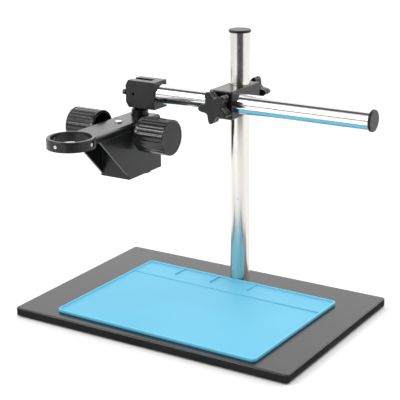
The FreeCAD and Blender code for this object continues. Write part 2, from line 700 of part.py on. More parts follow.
# ---------------------------------------------------------------- bracket
def ring_arm():
    half_w = BRACKET_WIDTH / 2
    z0 = ARM_PLATE_BOTTOM
    z1 = ARM_PLATE_TOP_Z
    plate = box(POST_X - half_w, POST_X + half_w, RING_Y, BRACKET_BACK_Y, z0, z1)
    long_top = edges_along(plate, Y_AXIS, lambda c: c.z > z1 - 0.1)
    plate = plate.makeFillet(BRACKET_EDGE, long_top)
    ring_low = RING_TOP - RING_HEIGHT
    ring = cyl(RING_OUTER / 2, V(POST_X, RING_Y, ring_low), V(POST_X, RING_Y, RING_TOP))
    outer_top = [e for e in ring.Edges if abs(e.CenterOfMass.z - RING_TOP) < 0.01]
    ring = ring.makeFillet(RING_EDGE, outer_top)
    arm = plate.fuse(ring)
    bore = cyl(RING_BORE / 2, V(POST_X, RING_Y, ring_low - 1), V(POST_X, RING_Y, RING_TOP + 1))
    arm = arm.cut(bore)
    chamfer = cone(
        RING_BORE / 2,
        RING_BORE / 2 + RING_CHAMFER,
        V(POST_X, RING_Y, RING_TOP - RING_CHAMFER),
        V(POST_X, RING_Y, RING_TOP),
    )
    arm = arm.cut(chamfer)
    hole = cyl(POST_R + POST_HOLE_CLEARANCE, post_point(z0 - 1), post_point(z1 + 1))
    arm = arm.cut(hole)
    relief_x = PINION_WIDTH / 2 + PINION_RELIEF
    relief_r = PITCH_R + GEAR_ADDENDUM + PINION_RELIEF
    relief = box(
        POST_X - relief_x,
        POST_X + relief_x,
        SHAFT_Y - relief_r,
        SHAFT_Y + relief_r,
        z0 - 1,
        SHAFT_Z + relief_r,
    )
    arm = arm.cut(relief)
    screw_r = RING_SCREW_DIAMETER / 2 + RUNNING_FIT
    for angle in RING_SCREW_ANGLES:
        arm = arm.cut(ring_radial(angle, screw_r, RING_BORE / 2 - 1, RING_OUTER / 2 + 1))
    for sx in (-1, 1):
        x = POST_X + sx * (BRACKET_WIDTH / 2 - TOP_SCREW_INSET)
        shank = cyl(TOP_SCREW_DIAMETER / 2, V(x, TOP_SCREW_Y, z0 - 1), V(x, TOP_SCREW_Y, z1 + 1))
        head_low = V(x, TOP_SCREW_Y, z1 - TOP_SCREW_RECESS)
        head = cyl(TOP_SCREW_HEAD / 2, head_low, V(x, TOP_SCREW_Y, z1 + 1))
        arm = arm.cut(shank).cut(head)
    rack_hole = cyl(
        RACK_SCREW_DIAMETER / 2, V(POST_X, RACK_SCREW_Y, z0 - 1), V(POST_X, RACK_SCREW_Y, z1 + 1)
    )
    return arm.cut(rack_hole)


def ring_radial(angle, radius, r0, r1):
    a = math.radians(angle)
    d = V(math.cos(a), math.sin(a), 0)
    c = V(POST_X, RING_Y, RING_SCREW_Z)
    return cyl(radius, c + d * r0, c + d * r1)


def ring_screw(angle):
    outer = RING_OUTER / 2 + RING_SCREW_PROUD
    screw = ring_radial(angle, RING_SCREW_DIAMETER / 2, outer - RING_SCREW_LENGTH, outer)
    a = math.radians(angle)
    d = V(math.cos(a), math.sin(a), 0)
    c = V(POST_X, RING_Y, RING_SCREW_Z)
    socket_low = c + d * (outer - RING_SCREW_SOCKET_DEPTH)
    socket = hex_prism(RING_SCREW_SOCKET, socket_low, c + d * (outer + 1))
    return screw.cut(socket)


def slide_housing():
    half_w = BRACKET_WIDTH / 2
    wall = BRACKET_WALL
    top = ARM_PLATE_BOTTOM
    low = BRACKET_BOTTOM_Z
    front = BRACKET_FRONT_Y
    back = BRACKET_BACK_Y
    reach = top - low - GUSSET_TOE
    side = [
        V(0, back, low),
        V(0, front, low),
        V(0, front, low + GUSSET_TOE),
        V(0, front - reach, top),
        V(0, back, top),
    ]
    walls = []
    for sx in (-1, 1):
        x = POST_X + sx * half_w - (wall if sx > 0 else 0)
        points = [V(x, p.y, p.z) for p in side]
        walls.append(prism(points, V(wall, 0, 0)))
    front_wall = box(POST_X - half_w, POST_X + half_w, front, front + wall, low, top)
    housing = front_wall.fuse(walls)
    slot_half = SHAFT_R + SHAFT_SLOT_GAP
    for sx in (-1, 1):
        x0 = POST_X + sx * (half_w - wall - 1)
        x1 = POST_X + sx * (half_w + 1)
        low_end = SHAFT_Z - FOCUS_TRAVEL
        slot = box(min(x0, x1), max(x0, x1), SHAFT_Y - slot_half, SHAFT_Y + slot_half, low_end, SHAFT_Z)
        for z in (low_end, SHAFT_Z):
            slot = slot.fuse(cyl(slot_half, V(x0, SHAFT_Y, z), V(x1, SHAFT_Y, z)))
        housing = housing.cut(slot)
    lug_y0 = TOP_SCREW_Y - LUG_WIDTH / 2
    lug_y1 = TOP_SCREW_Y + LUG_WIDTH / 2
    for sx in (-1, 1):
        outer = POST_X + sx * half_w
        inner = POST_X + sx * (BODY_WIDTH / 2 + LUG_GAP)
        lug = box(min(outer, inner), max(outer, inner), lug_y0, lug_y1, top - LUG_HEIGHT, top)
        housing = housing.fuse(lug)
        x = POST_X + sx * (half_w - TOP_SCREW_INSET)
        hole_low = V(x, TOP_SCREW_Y, top - LUG_HOLE_DEPTH)
        bore = cyl(TOP_SCREW_DIAMETER / 2, hole_low, V(x, TOP_SCREW_Y, top + 1))
        housing = housing.cut(bore)
    return housing


def top_screws():
    screws = []
    for sx in (-1, 1):
        x = POST_X + sx * (BRACKET_WIDTH / 2 - TOP_SCREW_INSET)
        z1 = ARM_PLATE_TOP_Z - TOP_SCREW_SUNK
        z0 = ARM_PLATE_TOP_Z - TOP_SCREW_RECESS
        head = cyl(TOP_SCREW_HEAD / 2 - SLIDE_GAP, V(x, TOP_SCREW_Y, z0), V(x, TOP_SCREW_Y, z1))
        shank = cyl(TOP_SCREW_DIAMETER / 2, V(x, TOP_SCREW_Y, z1 - TOP_SCREW_LENGTH), V(x, TOP_SCREW_Y, z0))
        socket_low = V(x, TOP_SCREW_Y, z1 - TOP_SCREW_SOCKET_DEPTH)
        socket = hex_prism(TOP_SCREW_SOCKET, socket_low, V(x, TOP_SCREW_Y, z1 + 1))
        screws.append(head.fuse(shank).cut(socket))
    return group(screws)


def rack_screw():
    z0 = ARM_PLATE_TOP_Z
    z1 = z0 + RACK_SCREW_HEAD_HEIGHT
    head = cyl(RACK_SCREW_HEAD / 2, V(POST_X, RACK_SCREW_Y, z0), V(POST_X, RACK_SCREW_Y, z1))
    rim = [e for e in head.Edges if abs(e.CenterOfMass.z - z1) < 0.01]
    head = head.makeFillet(RACK_SCREW_EDGE, rim)
    low = ARM_PLATE_BOTTOM - RACK_SCREW_DEPTH
    shank = cyl(RACK_SCREW_DIAMETER / 2, V(POST_X, RACK_SCREW_Y, low), V(POST_X, RACK_SCREW_Y, z0))
    slot_half = RACK_SCREW_SLOT_WIDTH / 2
    slot = box(
        POST_X - RACK_SCREW_HEAD,
        POST_X + RACK_SCREW_HEAD,
        RACK_SCREW_Y - slot_half,
        RACK_SCREW_Y + slot_half,
        z1 - RACK_SCREW_SLOT_DEPTH,
        z1 + 1,
    )
    return head.fuse(shank).cut(slot)


def slide_rails():
    rails = []
    for sx in (-1, 1):
        outer = POST_X + sx * (BRACKET_WIDTH / 2 - BRACKET_WALL)
        inner = POST_X + sx * (BODY_WIDTH / 2 - RAIL_REACH)
        rail = box(
            min(outer, inner),
            max(outer, inner),
            RAIL_Y - RAIL_DEPTH / 2,
            RAIL_Y + RAIL_DEPTH / 2,
            BRACKET_BOTTOM_Z + RAIL_RAISED,
            ARM_PLATE_BOTTOM,
        )
        rails.append(rail)
    return group(rails)


# ---------------------------------------------------------------- slide body
def slide_body():
    half_w = BODY_WIDTH / 2
    back = BRACKET_BACK_Y
    body = box(POST_X - half_w, POST_X + half_w, BODY_FRONT_Y, back, BODY_BOTTOM_Z, BODY_TOP)
    yoke_half = BODY_YOKE_GAP / 2
    yoke = box(
        POST_X - yoke_half,
        POST_X + yoke_half,
        BODY_FRONT_Y - 1,
        BODY_FRONT_Y + BODY_YOKE_DEPTH,
        BODY_BOTTOM_Z - 1,
        BODY_TOP + 1,
    )
    body = body.cut(yoke)
    for sx in (-1, 1):
        outer = POST_X + sx * (half_w + 1)
        inner = POST_X + sx * (half_w - RAIL_REACH - SLIDE_GAP)
        groove = box(
            min(outer, inner),
            max(outer, inner),
            RAIL_Y - RAIL_DEPTH / 2 - SLIDE_GAP,
            RAIL_Y + RAIL_DEPTH / 2 + SLIDE_GAP,
            BODY_BOTTOM_Z - 1,
            BODY_TOP + 1,
        )
        body = body.cut(groove)
    boss_low = POST_BOTTOM_Z + SLIDE_GAP
    boss = cyl(POST_R + BODY_BOSS_WALL, post_point(boss_low), post_point(BODY_BOTTOM_Z))
    body = body.fuse(boss)
    body = body.cut(cyl(POST_R + RUNNING_FIT, post_point(boss_low - 1), post_point(BODY_TOP + 1)))
    shaft_bore = cyl(
        SHAFT_R + RUNNING_FIT,
        V(POST_X - half_w - 1, SHAFT_Y, SHAFT_Z),
        V(POST_X + half_w + 1, SHAFT_Y, SHAFT_Z),
    )
    return body.cut(shaft_bore)


# ---------------------------------------------------------------- gear pair
def involute_point(base_r, roll):
    x = base_r * (math.cos(roll) + roll * math.sin(roll))
    y = base_r * (math.sin(roll) - roll * math.cos(roll))
    return math.hypot(x, y), math.atan2(y, x)


def pinion():
    base_r = PITCH_R * math.cos(PRESSURE_ANGLE)
    tip_r = PITCH_R + GEAR_ADDENDUM
    root_r = PITCH_R - GEAR_DEDENDUM
    pitch_roll = math.tan(PRESSURE_ANGLE)
    pitch_angle = pitch_roll - PRESSURE_ANGLE
    half_tooth = math.pi / (2 * PINION_TEETH) - GEAR_BACKLASH / (2 * PITCH_R) / 2
    tip_roll = math.sqrt((tip_r / base_r) ** 2 - 1)
    steps = 6
    flank = [(root_r, -(half_tooth + pitch_angle))]
    for i in range(steps + 1):
        r, a = involute_point(base_r, tip_roll * i / steps)
        if r > root_r:
            flank.append((r, a - half_tooth - pitch_angle))
    points = []
    for tooth in range(PINION_TEETH):
        centre = math.pi + 2 * math.pi * (tooth + 0.5) / PINION_TEETH
        outline = flank + [(r, -a) for r, a in reversed(flank)]
        for r, a in outline:
            b = centre + a
            points.append(V(0, SHAFT_Y + r * math.cos(b), SHAFT_Z + r * math.sin(b)))
    x0 = POST_X - PINION_WIDTH / 2
    points = [V(x0, p.y, p.z) for p in points]
    return prism(points, V(PINION_WIDTH, 0, 0))


def pinion_shaft():
    reach = KNOB_FROM_CENTRE + KNOB_LENGTH - KNOB_CAP_THICKNESS - SHAFT_END_GAP
    shaft = cyl(SHAFT_R, V(POST_X - reach, SHAFT_Y, SHAFT_Z), V(POST_X + reach, SHAFT_Y, SHAFT_Z))
    return shaft.fuse(pinion())


def focus_rack():
    pitch = math.pi * GEAR_MODULE
    tan_a = math.tan(PRESSURE_ANGLE)
    half = pitch / 4 - GEAR_BACKLASH / 4
    tip_y = RACK_PITCH_Y + GEAR_ADDENDUM
    root_y = RACK_PITCH_Y - GEAR_DEDENDUM
    tip_half = half - GEAR_ADDENDUM * tan_a
    root_half = half + GEAR_DEDENDUM * tan_a
    x0 = POST_X - RACK_WIDTH / 2
    teeth_below = int((SHAFT_Z - RACK_BOTTOM_Z) / pitch)
    teeth_above = int((ARM_PLATE_BOTTOM - SHAFT_Z) / pitch - 0.5)
    points = [V(x0, root_y, RACK_BOTTOM_Z)]
    for i in range(-teeth_below, teeth_above + 1):
        z = SHAFT_Z + i * pitch
        points.append(V(x0, root_y, z - root_half))
        points.append(V(x0, tip_y, z - tip_half))
        points.append(V(x0, tip_y, z + tip_half))
        points.append(V(x0, root_y, z + root_half))
    points.append(V(x0, root_y, ARM_PLATE_BOTTOM))
    points.append(V(x0, RACK_FRONT_Y, ARM_PLATE_BOTTOM))
    points.append(V(x0, RACK_FRONT_Y, RACK_BOTTOM_Z))
    rack = prism(points, V(RACK_WIDTH, 0, 0))
    hole_low = ARM_PLATE_BOTTOM - RACK_SCREW_DEPTH
    hole = cyl(
        RACK_SCREW_DIAMETER / 2,
        V(POST_X, RACK_SCREW_Y, hole_low),
        V(POST_X, RACK_SCREW_Y, ARM_PLATE_BOTTOM + 1),
    )
    return rack.cut(hole)


# ---------------------------------------------------------------- focus knobs
def focus_knob(side):
    inner = POST_X + side * KNOB_FROM_CENTRE
    outer = inner + side * KNOB_LENGTH
    r = KNOB_DIAMETER / 2
    knob = cyl(r, V(inner, SHAFT_Y, SHAFT_Z), V(outer, SHAFT_Y, SHAFT_Z))
    outer_rim = [e for e in knob.Edges if abs(e.CenterOfMass.x - outer) < 0.01]
    knob = knob.makeFillet(KNOB_OUTER_EDGE, outer_rim)
    flute_start = inner + side * KNOB_PLAIN_RIM
    flute_end = outer - side * KNOB_FLUTE_STOP
    flutes = []
    for i in range(KNOB_FLUTES):
        a = 2 * math.pi * i / KNOB_FLUTES
        d = r + KNOB_FLUTE_RADIUS - KNOB_FLUTE_DEPTH
        y = SHAFT_Y + d * math.cos(a)
        z = SHAFT_Z + d * math.sin(a)
        flutes.append(cyl(KNOB_FLUTE_RADIUS, V(flute_start, y, z), V(flute_end, y, z)))
    knob = knob.cut(flutes)
    hollow_end = outer - side * KNOB_END_WALL
    hollow = cyl(r - KNOB_WALL, V(inner - side, SHAFT_Y, SHAFT_Z), V(hollow_end, SHAFT_Y, SHAFT_Z))
    hub_start = V(inner + side * KNOB_HUB_SETBACK, SHAFT_Y, SHAFT_Z)
    hub = cyl(KNOB_HUB / 2, hub_start, V(hollow_end, SHAFT_Y, SHAFT_Z))
    knob = knob.cut(hollow.cut(hub))
    seat_x = outer - side * KNOB_CAP_THICKNESS
    seat_r = KNOB_CAP_DIAMETER / 2 + SLIDE_GAP
    knob = knob.cut(cyl(seat_r, V(seat_x, SHAFT_Y, SHAFT_Z), V(outer + side, SHAFT_Y, SHAFT_Z)))
    return knob.cut(cyl(SHAFT_R, V(inner - side, SHAFT_Y, SHAFT_Z), V(outer + side, SHAFT_Y, SHAFT_Z)))


def knob_cap(side):
    outer = POST_X + side * (KNOB_FROM_CENTRE + KNOB_LENGTH)
    return cyl(
        KNOB_CAP_DIAMETER / 2,
        V(outer - side * KNOB_CAP_THICKNESS, SHAFT_Y, SHAFT_Z),
        V(outer - side * KNOB_CAP_SUNK, SHAFT_Y, SHAFT_Z),
    )


# ---------------------------------------------------------------- export
NODES = {
    "base_plate": base_plate(),
    "base_rubber_sheet": base_rubber_sheet(),
    "silicone_mat": work_mat(),
    "pillar_tube": pillar_tube(),
    "pillar_foot_plug": pillar_plug(),
    "pillar_fixing_screw": pillar_screw(),
    "pillar_cap": pillar_cap(),
    "pillar_bush": pillar_bush(),
    "clamp_block": clamp_block(),
    "arm_lock_stud": lock_stud(CLAMP_FRONT_Y, -1, ARM_TIP_Y),
    "arm_lock_pad": lock_pad(ARM_TIP_Y, -1),
    "arm_lock_knob": star_knob(CLAMP_FRONT_Y, -1, FRONT_STAR_TURN),
    "pillar_lock_stud": lock_stud(CLAMP_BACK_Y, 1, PILLAR_TIP_Y),
    "pillar_lock_pad": lock_pad(PILLAR_TIP_Y, 1),
    "pillar_lock_knob": star_knob(CLAMP_BACK_Y, 1, BACK_STAR_TURN),
    "arm_tube": arm_tube(),
    "arm_end_cap": arm_cap(),
    "clevis_block": clevis_block(),
    "clevis_pivot_bolt": pivot_bolt(),
    "clevis_pivot_nut": pivot_nut(),
    "pivot_lock_screw": pivot_lock_screw(),
    "arm_grub_screw": arm_grub_screw(),
    "swivel_post": swivel_post(),
    "post_washer": post_washer(),
    "post_end_screw": post_end_screw(),
    "slide_body": slide_body(),
    "pinion_shaft": pinion_shaft(),
    "focus_knob_right": focus_knob(1),
    "focus_knob_left": focus_knob(-1),
    "knob_cap_right": knob_cap(1),
    "knob_cap_left": knob_cap(-1),
    "ring_arm": ring_arm(),
    "slide_housing": slide_housing(),
    "housing_top_screws": top_screws(),
    "rack_screw": rack_screw(),
    "focus_rack": focus_rack(),
    "slide_rails": slide_rails(),
    "ring_screw_front": ring_screw(RING_SCREW_ANGLES[0]),
    "ring_screw_right": ring_screw(RING_SCREW_ANGLES[1]),
    "ring_screw_left": ring_screw(RING_SCREW_ANGLES[2]),
}

for node_name, node_shape in NODES.items():
    save(node_name, node_shape)
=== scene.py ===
import json
import math

import bmesh
import bpy
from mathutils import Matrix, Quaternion, Vector


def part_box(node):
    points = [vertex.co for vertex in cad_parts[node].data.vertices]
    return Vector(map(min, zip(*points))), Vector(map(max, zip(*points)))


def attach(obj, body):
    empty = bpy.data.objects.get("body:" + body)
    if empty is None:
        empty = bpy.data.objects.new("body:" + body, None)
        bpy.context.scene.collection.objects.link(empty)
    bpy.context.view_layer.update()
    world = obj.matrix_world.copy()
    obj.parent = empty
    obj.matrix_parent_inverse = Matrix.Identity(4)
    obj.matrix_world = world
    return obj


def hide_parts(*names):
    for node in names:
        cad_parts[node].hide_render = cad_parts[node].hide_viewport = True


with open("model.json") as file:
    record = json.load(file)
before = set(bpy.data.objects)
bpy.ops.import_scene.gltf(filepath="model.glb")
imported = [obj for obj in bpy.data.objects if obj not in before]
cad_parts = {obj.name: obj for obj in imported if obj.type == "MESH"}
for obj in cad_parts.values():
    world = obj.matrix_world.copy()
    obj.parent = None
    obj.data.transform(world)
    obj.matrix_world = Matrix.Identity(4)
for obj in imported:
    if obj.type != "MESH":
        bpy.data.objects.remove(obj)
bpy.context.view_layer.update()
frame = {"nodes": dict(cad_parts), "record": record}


# ------------------------------------------------------------ shader helpers
class Value:
    """A socket's output. Arithmetic on it adds Math nodes."""

    def __init__(self, nodes, socket):
        self.nodes = nodes
        self.socket = socket

    def _math(self, operation, *inputs):
        return self.nodes.node("ShaderNodeMath", {"operation": operation}, dict(enumerate(inputs)))

    def __add__(self, other):
        return self._math("ADD", self, other)

    __radd__ = __add__

    def __mul__(self, other):
        return self._math("MULTIPLY", self, other)

    __rmul__ = __mul__

    def __sub__(self, other):
        return self._math("SUBTRACT", self, other)

    def __rsub__(self, other):
        return self._math("SUBTRACT", other, self)

    def ramp(self, low, high):
        """0 at low, 1 at high, smooth between."""
        inputs = {"Value": self, "From Min": low, "From Max": high}
        return self.nodes.node("ShaderNodeMapRange", {"interpolation_type": "SMOOTHSTEP"}, inputs)


class Nodes:
    """The nodes of one material or world."""

    def __init__(self, tree):
        self.tree = tree
        tree.nodes.clear()

    def node(self, kind, settings=None, inputs=None, out=0):
        made = self.tree.nodes.new(kind)
        for name, value in (settings or {}).items():
            setattr(made, name, value)
        for name, value in (inputs or {}).items():
            self.feed(made.inputs[name], value)
        return Value(self, made.outputs[out])

    def feed(self, socket, value):
        if isinstance(value, Value):
            self.tree.links.new(value.socket, socket)
        elif socket.type == "RGBA":
            socket.default_value = (*value, 1.0)
        else:
            socket.default_value = value


class Finish(Nodes):
    """A surface finish: one Principled shader with what feeds it."""

    def __init__(self, name, **fixed):
        self.material = bpy.data.materials.new(name)
        self.material.use_nodes = True
        super().__init__(self.material.node_tree)
        self.shader = self.tree.nodes.new("ShaderNodeBsdfPrincipled")
        end = self.tree.nodes.new("ShaderNodeOutputMaterial")
        self.tree.links.new(self.shader.outputs["BSDF"], end.inputs["Surface"])
        for key, value in fixed.items():
            self.feed(self.shader.inputs[key.replace("_", " ")], value)

    def surface(self, **changing):
        for key, value in changing.items():
            self.feed(self.shader.inputs[key.replace("_", " ")], value)
        return self.material

    def place(self):
        return self.node("ShaderNodeTexCoord", out="Object")

    def stretched(self, x, y, z, centre=(0.0, 0.0, 0.0)):
        moved = self.node("ShaderNodeVectorMath", {"operation": "SUBTRACT"}, {0: self.place(), 1: centre})
        return self.node("ShaderNodeVectorMath", {"operation": "MULTIPLY"}, {0: moved, 1: (x, y, z)})

    def noise(self, vector, scale=1.0, detail=2.0, roughness=0.5, distortion=0.0):
        inputs = {"Vector": vector, "Scale": scale, "Detail": detail}
        inputs.update({"Roughness": roughness, "Distortion": distortion})
        return self.node("ShaderNodeTexNoise", None, inputs)

    def specks(self, scale, size):
        """Small round spots, 1 inside each."""
        inputs = {"Vector": self.place(), "Scale": scale}
        return 1 - self.node("ShaderNodeTexVoronoi", None, inputs).ramp(size * 0.5, size)

    def distance_from(self, axis, centre):
        """Distance from a line along x, y or z through centre."""
        factors = [0.0 if name == axis else 1.0 for name in "xyz"]
        flat = self.stretched(*factors, centre)
        return self.node("ShaderNodeVectorMath", {"operation": "LENGTH"}, {0: flat}, out=1)

    def round_normal(self, axis, centre):
        """The true outward normal of a round bar along x, y or z through centre."""
        factors = [0.0 if name == axis else 1.0 for name in "xyz"]
        across = self.stretched(*factors, centre)
        outward = self.node("ShaderNodeVectorMath", {"operation": "NORMALIZE"}, {0: across})
        turning = {"vector_type": "NORMAL", "convert_from": "OBJECT", "convert_to": "WORLD"}
        return self.node("ShaderNodeVectorTransform", turning, {"Vector": outward})

    def mix(self, share, first, second):
        return self.node("ShaderNodeMix", {"data_type": "RGBA"}, {0: share, 6: first, 7: second}, out=2)

    def rounded(self, radius):
        return self.node("ShaderNodeBevel", {"samples": 4}, {"Radius": radius})

    def edge_wear_and_highlight(self, radius, rounded):
        """1 on sharp outside edges, broken up by noise; it masks edge wear and a painted edge highlight."""
        plain = self.node("ShaderNodeNewGeometry", out="Normal")
        dot = self.node("ShaderNodeVectorMath", {"operation": "DOT_PRODUCT"}, {0: plain, 1: rounded}, out=1)
        patches = self.noise(self.place(), 0.12 / radius, 3.0).ramp(0.42, 0.68)
        return (1 - dot).ramp(0.02, 0.20) * patches

    def bump(self, height, distance, normal=None, strength=1.0):
        inputs = {"Height": height, "Distance": distance, "Strength": strength}
        if normal is not None:
            inputs["Normal"] = normal
        return self.node("ShaderNodeBump", None, inputs)


def grey(level, warmth=0.0):
    return (level * (1 + warmth), level, level * (1 - warmth))


# ------------------------------------------------------------ finishes
def powder_coat(name, level, gloss):
    f = Finish(name, IOR=1.5)
    grain = f.noise(f.place(), 1600.0, 3.0)
    clouds = f.noise(f.place(), 9.0, 5.0, 0.6)
    dust = f.specks(420.0, 0.09)
    rounded = f.rounded(0.0005)
    worn_and_lit_edges = f.edge_wear_and_highlight(0.0006, rounded)
    colour = f.mix(clouds.ramp(0.3, 0.7), grey(level * 0.85), grey(level * 1.2))
    colour = f.mix(dust * 0.10, colour, grey(0.35))
    # Edges painted paler: partly wear, partly a painted highlight.
    colour = f.mix(worn_and_lit_edges * 0.35, colour, grey(0.16))
    rough = gloss + (clouds - 0.5) * 0.10 + (grain - 0.5) * 0.06
    return f.surface(Base_Color=colour, Roughness=rough, Normal=f.bump(grain, 0.00002, rounded))


def sheet_rubber(name, level):
    f = Finish(name, IOR=1.5)
    grain = f.noise(f.place(), 900.0, 4.0)
    dust = f.noise(f.place(), 60.0, 4.0).ramp(0.45, 0.8)
    colour = f.mix(dust * 0.4, grey(level), grey(level * 2.2))
    return f.surface(Base_Color=colour, Roughness=0.72 + grain * 0.16, Normal=f.bump(grain, 0.0002))


mat_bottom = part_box("silicone_mat")[0][2]
# Painted highlight: heights above the mat's bottom from which its rims and stubs are tinted paler blue.
RIM_HIGHLIGHT_FROM = 0.0032
RIM_HIGHLIGHT_FULL = 0.0041
RIM_HIGHLIGHT_BLUE = (0.19, 0.66, 0.88)
LINT_BLUE = (0.62, 0.85, 0.93)


def silicone(name, deep, pale):
    """Coloured silicone sheet, with a painted highlight that makes it paler where its thin rims stand up.
    """
    f = Finish(name, IOR=1.42, Sheen_Weight=0.12, Sheen_Roughness=0.4)
    grain = f.noise(f.place(), 1300.0, 2.0)
    clouds = f.noise(f.place(), 7.0, 4.0, 0.55)
    lint = f.noise(f.stretched(60.0, 900.0, 900.0), 1.0, 3.0).ramp(0.72, 0.80)
    dents = f.noise(f.place(), 26.0, 2.0)
    colour = f.mix(clouds.ramp(0.25, 0.75), deep, pale)
    height = f.node("ShaderNodeSeparateXYZ", None, {0: f.place()}, out=2)
    # Painted highlight: the rim tops and stubs are mixed towards a paler blue.
    rim_highlight = height.ramp(mat_bottom + RIM_HIGHLIGHT_FROM, mat_bottom + RIM_HIGHLIGHT_FULL)
    colour = f.mix(rim_highlight * 0.6, colour, RIM_HIGHLIGHT_BLUE)
    colour = f.mix(lint * 0.25, colour, LINT_BLUE)
    rough = 0.50 + (clouds - 0.5) * 0.12 + grain * 0.06
    soft = f.bump(dents, 0.0005, None, 0.35)
    return f.surface(Base_Color=colour, Roughness=rough, Normal=f.bump(grain, 0.00005, soft))


def drawn_tube(name, colour, gloss, centre, along, streak, haze, depth):
    """Polished metal tube with fine streaks along it."""
    f = Finish(name, Metallic=1.0)
    across = [2400.0 if axis != along else 0.4 for axis in "xyz"]
    bands = [90.0 if axis != along else 1.6 for axis in "xyz"]
    lines = f.noise(f.stretched(*across, centre), 1.0, 4.0, 0.6)
    wide = f.noise(f.stretched(*bands, centre), 1.0, 3.0, 0.6)
    marks = f.noise(f.place(), 45.0, 5.0, 0.7).ramp(0.56, 0.74)
    darker = tuple(c * (1 - streak) for c in colour)
    tint = f.mix(wide.ramp(0.3, 0.7), darker, colour)
    tint = f.mix(lines.ramp(0.45, 0.8) * streak, tint, tuple(c * 0.82 for c in colour))
    rough = gloss + wide * haze + (lines - 0.5) * haze + marks * haze * 0.7
    outward = f.round_normal(along, centre)
    return f.surface(Base_Color=tint, Roughness=rough, Normal=f.bump(lines, depth, outward))


def moulded(name, level, gloss, grain_scale=700.0, depth=0.00010):
    """Black moulded plastic with a fine spark texture."""
    f = Finish(name, IOR=1.48, Specular_IOR_Level=0.36)
    grain = f.noise(f.place(), grain_scale, 3.0)
    clouds = f.noise(f.place(), 55.0, 4.0)
    rounded = f.rounded(0.0006)
    worn_and_lit_edges = f.edge_wear_and_highlight(0.0006, rounded)
    colour = f.mix(clouds.ramp(0.3, 0.7), grey(level * 0.8), grey(level * 1.3))
    # Edges painted paler: partly wear, partly a painted highlight.
    colour = f.mix(worn_and_lit_edges * 0.30, colour, grey(0.14))
    rough = gloss + (clouds - 0.5) * 0.14 + (grain - 0.5) * 0.14
    return f.surface(Base_Color=colour, Roughness=rough, Normal=f.bump(grain, depth, rounded))


def turned_disc(name, level, gloss, axis, centre):
    """Plastic face with rings left by turning."""
    f = Finish(name, IOR=1.5, Specular_IOR_Level=0.36)
    radius = f.distance_from(axis, centre)
    turned = {"W": radius * 3800.0, "Scale": 1.0, "Detail": 2.0}
    rings = f.node("ShaderNodeTexNoise", {"noise_dimensions": "1D"}, turned)
    clouds = f.noise(f.place(), 110.0, 4.0)
    rounded = f.rounded(0.0006)
    worn_and_lit_edges = f.edge_wear_and_highlight(0.0006, rounded)
    colour = f.mix(rings * 0.5 + clouds * 0.5, grey(level * 0.6), grey(level * 1.7))
    # Edges painted paler: partly wear, partly a painted highlight.
    colour = f.mix(worn_and_lit_edges * 0.4, colour, grey(0.2))
    rough = gloss + (rings - 0.5) * 0.22 + (clouds - 0.5) * 0.1
    return f.surface(Base_Color=colour, Roughness=rough, Normal=f.bump(rings, 0.00005, rounded))


def anodised(name, level, gloss, wear_and_highlight=0.5, lines_along="y"):
    """Black anodised aluminium with a faint machining grain."""
    f = Finish(name, IOR=1.5, Specular_IOR_Level=0.32)
    stretch = [1500.0 if axis != lines_along else 40.0 for axis in "xyz"]
    lines = f.noise(f.stretched(*stretch), 1.0, 3.0)
    blast = f.noise(f.place(), 1900.0, 2.0)
    clouds = f.noise(f.place(), 40.0, 5.0, 0.6)
    rounded = f.rounded(0.0005)
    worn_and_lit_edges = f.edge_wear_and_highlight(0.0005, rounded)
    colour = f.mix(clouds.ramp(0.3, 0.7), grey(level * 0.75, 0.02), grey(level * 1.3, 0.01))
    # Edges painted paler: partly wear, partly a painted highlight.
    colour = f.mix(worn_and_lit_edges * wear_and_highlight, colour, grey(0.30))
    rough = gloss + (clouds - 0.5) * 0.18 + (lines - 0.5) * 0.10 + (blast - 0.5) * 0.06
    height = lines * 0.4 + blast * 0.6
    return f.surface(Base_Color=colour, Roughness=rough, Normal=f.bump(height, 0.00003, rounded))


def machined(name, colour, gloss, grime=0.4, metallic=1.0):
    """Bare, plated or blackened metal with tool marks and dull patches."""
    f = Finish(name, Metallic=metallic)
    marks = f.noise(f.stretched(700.0, 2200.0, 2200.0), 1.0, 3.0)
    clouds = f.noise(f.place(), 130.0, 5.0, 0.65)
    rounded = f.rounded(0.0003)
    dull = tuple(c * (1 - grime) for c in colour)
    tint = f.mix(clouds.ramp(0.35, 0.75), colour, dull)
    rough = gloss + clouds * 0.16 + (marks - 0.5) * 0.14
    return f.surface(Base_Color=tint, Roughness=rough, Normal=f.bump(marks, 0.00003, rounded))


def grip_rubber(name, level, gloss):
    """Soft-touch coating with a dusty bloom."""
    f = Finish(name, IOR=1.52, Sheen_Weight=0.03, Sheen_Roughness=0.5)
    grain = f.noise(f.place(), 1500.0, 3.0)
    clouds = f.noise(f.place(), 70.0, 5.0, 0.6)
    rounded = f.rounded(0.0006)
    worn_and_lit_edges = f.edge_wear_and_highlight(0.0007, rounded)
    colour = f.mix(clouds.ramp(0.3, 0.75), grey(level * 0.8), grey(level * 1.5))
    # Edges painted paler: partly wear, partly a painted highlight.
    colour = f.mix(worn_and_lit_edges * 0.3, colour, grey(0.12))
    rough = gloss + (clouds - 0.5) * 0.12 + (grain - 0.5) * 0.06
    return f.surface(Base_Color=colour, Roughness=rough, Normal=f.bump(grain, 0.00003, rounded))


def middle(node):
    low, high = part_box(node)
    return (Vector(low) + Vector(high)) / 2


pillar_centre = tuple(middle("pillar_tube"))
arm_centre = tuple(middle("arm_tube"))
knob_centre = tuple(middle("pinion_shaft"))

